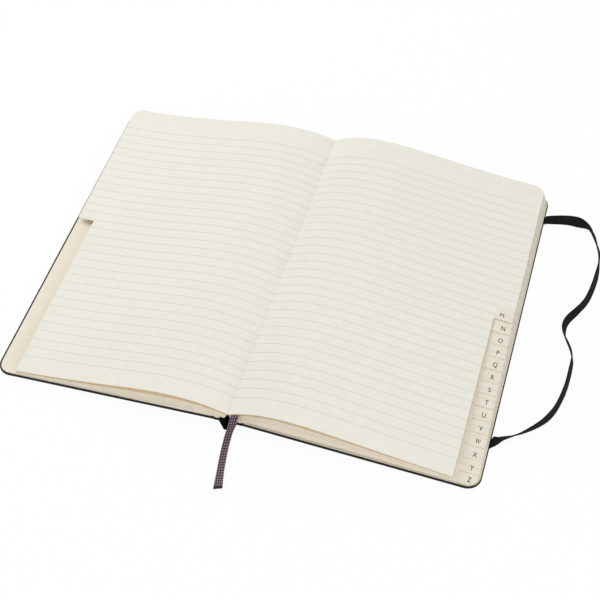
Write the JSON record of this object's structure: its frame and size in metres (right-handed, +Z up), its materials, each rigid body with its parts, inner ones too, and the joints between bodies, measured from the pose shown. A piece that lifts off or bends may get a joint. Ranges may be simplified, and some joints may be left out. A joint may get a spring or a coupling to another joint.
{
  "type": "address book",
  "caption": "Hard-cover address book lying open, with stepped alphabet index tabs, ruled leaves, elastic closure band, marker ribbon and back pocket.",
  "frame": {"origin": "on the table under the middle of the spine of the open book", "axes": "+X to the right across the open pages, +Y up the page to the head, +Z up off the table"},
  "size_m": [0.305, 0.2459, 0.0216],
  "materials": {
    "leatherette": "fine grained, matt",
    "board": "grey board",
    "leaf_paper": "uncoated ivory, ruled",
    "endpaper": "uncoated ivory",
    "pocket_card": "uncoated ivory",
    "lining_cloth": "black book cloth",
    "elastic": "woven elastic",
    "ribbon": "woven ribbon"
  },
  "bodies": {
    "back_cover": {"back_cover_skin": "leatherette", "back_board": "board", "back_endpaper": "endpaper", "spine_lining_back": "lining_cloth", "ribbon_in_block": "ribbon", "ribbon_tail": "ribbon", "elastic_end_head": "elastic", "elastic_end_tail": "elastic", "elastic_band": "elastic", "pocket_gusset_head": "lining_cloth", "pocket_gusset_tail": "lining_cloth"},
    "back_shoulder": {"spine_shoulder_back": "leatherette"},
    "spine": {"spine_strip": "leatherette"},
    "front_shoulder": {"spine_shoulder_front": "leatherette"},
    "front_cover": {"front_cover_skin": "leatherette", "front_board": "board", "front_endpaper": "endpaper", "spine_lining_front": "lining_cloth"},
    "pocket": {"pocket_panel": "pocket_card"},
    "flyleaf_front": {"front_flyleaf": "leaf_paper"},
    "flyleaf_back": {"back_flyleaf": "leaf_paper"},
    "leaves_a": {"section_a": "leaf_paper"},
    "leaves_b": {"section_b": "leaf_paper"},
    "leaves_c": {"section_c": "leaf_paper"},
    "leaves_d": {"section_d": "leaf_paper"},
    "leaves_e": {"section_e": "leaf_paper"},
    "leaves_f": {"section_f": "leaf_paper"},
    "leaves_g": {"section_g": "leaf_paper"},
    "leaves_h": {"section_h": "leaf_paper"},
    "leaves_i": {"section_i": "leaf_paper"},
    "leaves_j": {"section_j": "leaf_paper"},
    "leaves_k": {"section_k": "leaf_paper"},
    "leaves_l": {"section_l": "leaf_paper"},
    "leaves_m": {"section_m": "leaf_paper"},
    "leaves_n": {"section_n": "leaf_paper"},
    "leaves_o": {"section_o": "leaf_paper"},
    "leaves_p": {"section_p": "leaf_paper"},
    "leaves_q": {"section_q": "leaf_paper"},
    "leaves_r": {"section_r": "leaf_paper"},
    "leaves_s": {"section_s": "leaf_paper"},
    "leaves_t": {"section_t": "leaf_paper"},
    "leaves_u": {"section_u": "leaf_paper"},
    "leaves_v": {"section_v": "leaf_paper"},
    "leaves_w": {"section_w": "leaf_paper"},
    "leaves_x": {"section_x": "leaf_paper"},
    "leaves_y": {"section_y": "leaf_paper"},
    "leaves_z": {"section_z": "leaf_paper"}
  },
  "joints": [
    {"name": "cover_opening", "type": "hinge", "parent": "back_cover", "child": "front_cover", "pos_m": [0, 0, 0.01514], "axis": [0, 1, 0], "range_deg": [0, 186.8], "deforming": ["front_flyleaf", "back_flyleaf", "spine_lining_front", "spine_lining_back", "ribbon_in_block", "section_a", "section_b", "section_c", "section_d", "section_e", "section_f", "section_g", "section_h", "section_i", "section_j", "section_k", "section_l", "section_m", "section_n", "section_o", "section_p", "section_q", "section_r", "section_s", "section_t", "section_u", "section_v", "section_w", "section_x", "section_y", "section_z"]},
    {"name": "back_joint", "type": "hinge", "parent": "back_cover", "child": "back_shoulder", "pos_m": [0.0047, 0, 0.0078], "axis": [0, 1, 0], "range_deg": [0, 112.51]},
    {"name": "back_crease", "type": "hinge", "parent": "back_shoulder", "child": "spine", "pos_m": [0.0025, 0, 0.00025], "axis": [0, 1, 0], "range_deg": [-19.11, 0]},
    {"name": "front_joint", "type": "hinge", "parent": "front_cover", "child": "front_shoulder", "pos_m": [-0.0047, 0, 0.0078], "axis": [0, 1, 0], "range_deg": [-112.51, 0]},
    {"name": "turn_m", "type": "hinge", "parent": "back_cover", "child": "leaves_m", "pos_m": [0.00021, 0, 0.0138], "axis": [0, 1, 0], "range_deg": [-100, 0]},
    {"name": "turn_n", "type": "hinge", "parent": "back_cover", "child": "leaves_n", "pos_m": [0.00052, 0, 0.01315], "axis": [0, 1, 0], "range_deg": [-94.64, 0]},
    {"name": "turn_o", "type": "hinge", "parent": "back_cover", "child": "leaves_o", "pos_m": [0.00067, 0, 0.01283], "axis": [0, 1, 0], "range_deg": [-89.29, 0]},
    {"name": "turn_p", "type": "hinge", "parent": "back_cover", "child": "leaves_p", "pos_m": [0.00082, 0, 0.0125], "axis": [0, 1, 0], "range_deg": [-83.93, 0]},
    {"name": "turn_q", "type": "hinge", "parent": "back_cover", "child": "leaves_q", "pos_m": [0.00097, 0, 0.01217], "axis": [0, 1, 0], "range_deg": [-78.57, 0]},
    {"name": "turn_r", "type": "hinge", "parent": "back_cover", "child": "leaves_r", "pos_m": [0.00112, 0, 0.01185], "axis": [0, 1, 0], "range_deg": [-73.21, 0]},
    {"name": "turn_s", "type": "hinge", "parent": "back_cover", "child": "leaves_s", "pos_m": [0.00128, 0, 0.01152], "axis": [0, 1, 0], "range_deg": [-67.86, 0]},
    {"name": "turn_t", "type": "hinge", "parent": "back_cover", "child": "leaves_t", "pos_m": [0.00143, 0, 0.01119], "axis": [0, 1, 0], "range_deg": [-62.5, 0]},
    {"name": "turn_u", "type": "hinge", "parent": "back_cover", "child": "leaves_u", "pos_m": [0.00158, 0, 0.01087], "axis": [0, 1, 0], "range_deg": [-57.14, 0]},
    {"name": "turn_v", "type": "hinge", "parent": "back_cover", "child": "leaves_v", "pos_m": [0.00173, 0, 0.01054], "axis": [0, 1, 0], "range_deg": [-51.79, 0]},
    {"name": "turn_w", "type": "hinge", "parent": "back_cover", "child": "leaves_w", "pos_m": [0.00188, 0, 0.01022], "axis": [0, 1, 0], "range_deg": [-46.43, 0]},
    {"name": "turn_x", "type": "hinge", "parent": "back_cover", "child": "leaves_x", "pos_m": [0.00204, 0, 0.00989], "axis": [0, 1, 0], "range_deg": [-41.07, 0]},
    {"name": "turn_y", "type": "hinge", "parent": "back_cover", "child": "leaves_y", "pos_m": [0.00219, 0, 0.00956], "axis": [0, 1, 0], "range_deg": [-35.71, 0]},
    {"name": "turn_z", "type": "hinge", "parent": "back_cover", "child": "leaves_z", "pos_m": [0.00234, 0, 0.00924], "axis": [0, 1, 0], "range_deg": [-30.36, 0]},
    {"name": "turn_flyleaf_back", "type": "hinge", "parent": "back_cover", "child": "flyleaf_back", "pos_m": [0.00249, 0, 0.00891], "axis": [0, 1, 0], "range_deg": [-25, 0]},
    {"name": "turn_flyleaf_front", "type": "hinge", "parent": "front_cover", "child": "flyleaf_front", "pos_m": [-0.00204, 0, 0.00989], "axis": [0, -1, 0], "range_deg": [-3.75, 0]},
    {"name": "turn_a", "type": "hinge", "parent": "front_cover", "child": "leaves_a", "pos_m": [-0.00188, 0, 0.01022], "axis": [0, -1, 0], "range_deg": [-4.69, 0]},
    {"name": "turn_b", "type": "hinge", "parent": "front_cover", "child": "leaves_b", "pos_m": [-0.00173, 0, 0.01054], "axis": [0, -1, 0], "range_deg": [-5.62, 0]},
    {"name": "turn_c", "type": "hinge", "parent": "front_cover", "child": "leaves_c", "pos_m": [-0.00158, 0, 0.01087], "axis": [0, -1, 0], "range_deg": [-6.56, 0]},
    {"name": "turn_d", "type": "hinge", "parent": "front_cover", "child": "leaves_d", "pos_m": [-0.00143, 0, 0.01119], "axis": [0, -1, 0], "range_deg": [-7.5, 0]},
    {"name": "turn_e", "type": "hinge", "parent": "front_cover", "child": "leaves_e", "pos_m": [-0.00128, 0, 0.01152], "axis": [0, -1, 0], "range_deg": [-8.44, 0]},
    {"name": "turn_f", "type": "hinge", "parent": "front_cover", "child": "leaves_f", "pos_m": [-0.00112, 0, 0.01185], "axis": [0, -1, 0], "range_deg": [-9.38, 0]},
    {"name": "turn_g", "type": "hinge", "parent": "front_cover", "child": "leaves_g", "pos_m": [-0.00097, 0, 0.01217], "axis": [0, -1, 0], "range_deg": [-10.31, 0]},
    {"name": "turn_h", "type": "hinge", "parent": "front_cover", "child": "leaves_h", "pos_m": [-0.00082, 0, 0.0125], "axis": [0, -1, 0], "range_deg": [-11.25, 0]},
    {"name": "turn_i", "type": "hinge", "parent": "front_cover", "child": "leaves_i", "pos_m": [-0.00067, 0, 0.01283], "axis": [0, -1, 0], "range_deg": [-12.19, 0]},
    {"name": "turn_j", "type": "hinge", "parent": "front_cover", "child": "leaves_j", "pos_m": [-0.00052, 0, 0.01315], "axis": [0, -1, 0], "range_deg": [-13.12, 0]},
    {"name": "turn_k", "type": "hinge", "parent": "front_cover", "child": "leaves_k", "pos_m": [-0.00036, 0, 0.01348], "axis": [0, -1, 0], "range_deg": [-14.06, 0]},
    {"name": "turn_l", "type": "hinge", "parent": "front_cover", "child": "leaves_l", "pos_m": [-0.00021, 0, 0.0138], "axis": [0, -1, 0], "range_deg": [-15, 0]},
    {"name": "pocket_fold", "type": "hinge", "parent": "back_cover", "child": "pocket", "pos_m": [0.1319, 0, 0.0018], "axis": [0, 1, 0], "range_deg": [0, 3]}
  ],
  "couplings": [
    {"joint": "back_joint", "follows": "cover_opening", "ratio": 0.60228},
    {"joint": "back_crease", "follows": "cover_opening", "ratio": -0.10228},
    {"joint": "front_joint", "follows": "cover_opening", "ratio": -0.60228},
    {"joint": "turn_n", "follows": "turn_m", "ratio": 0.9464},
    {"joint": "turn_o", "follows": "turn_m", "ratio": 0.8929},
    {"joint": "turn_p", "follows": "turn_m", "ratio": 0.8393},
    {"joint": "turn_q", "follows": "turn_m", "ratio": 0.7857},
    {"joint": "turn_r", "follows": "turn_m", "ratio": 0.7321},
    {"joint": "turn_s", "follows": "turn_m", "ratio": 0.6786},
    {"joint": "turn_t", "follows": "turn_m", "ratio": 0.625},
    {"joint": "turn_u", "follows": "turn_m", "ratio": 0.5714},
    {"joint": "turn_v", "follows": "turn_m", "ratio": 0.5179},
    {"joint": "turn_w", "follows": "turn_m", "ratio": 0.4643},
    {"joint": "turn_x", "follows": "turn_m", "ratio": 0.4107},
    {"joint": "turn_y", "follows": "turn_m", "ratio": 0.3571},
    {"joint": "turn_z", "follows": "turn_m", "ratio": 0.3036},
    {"joint": "turn_flyleaf_back", "follows": "turn_m", "ratio": 0.25},
    {"joint": "turn_flyleaf_front", "follows": "turn_l", "ratio": 0.25},
    {"joint": "turn_a", "follows": "turn_l", "ratio": 0.3125},
    {"joint": "turn_b", "follows": "turn_l", "ratio": 0.375},
    {"joint": "turn_c", "follows": "turn_l", "ratio": 0.4375},
    {"joint": "turn_d", "follows": "turn_l", "ratio": 0.5},
    {"joint": "turn_e", "follows": "turn_l", "ratio": 0.5625},
    {"joint": "turn_f", "follows": "turn_l", "ratio": 0.625},
    {"joint": "turn_g", "follows": "turn_l", "ratio": 0.6875},
    {"joint": "turn_h", "follows": "turn_l", "ratio": 0.75},
    {"joint": "turn_i", "follows": "turn_l", "ratio": 0.8125},
    {"joint": "turn_j", "follows": "turn_l", "ratio": 0.875},
    {"joint": "turn_k", "follows": "turn_l", "ratio": 0.9375},
    {"joint": "pocket_fold", "follows": "turn_m", "ratio": -0.03}
  ]
}
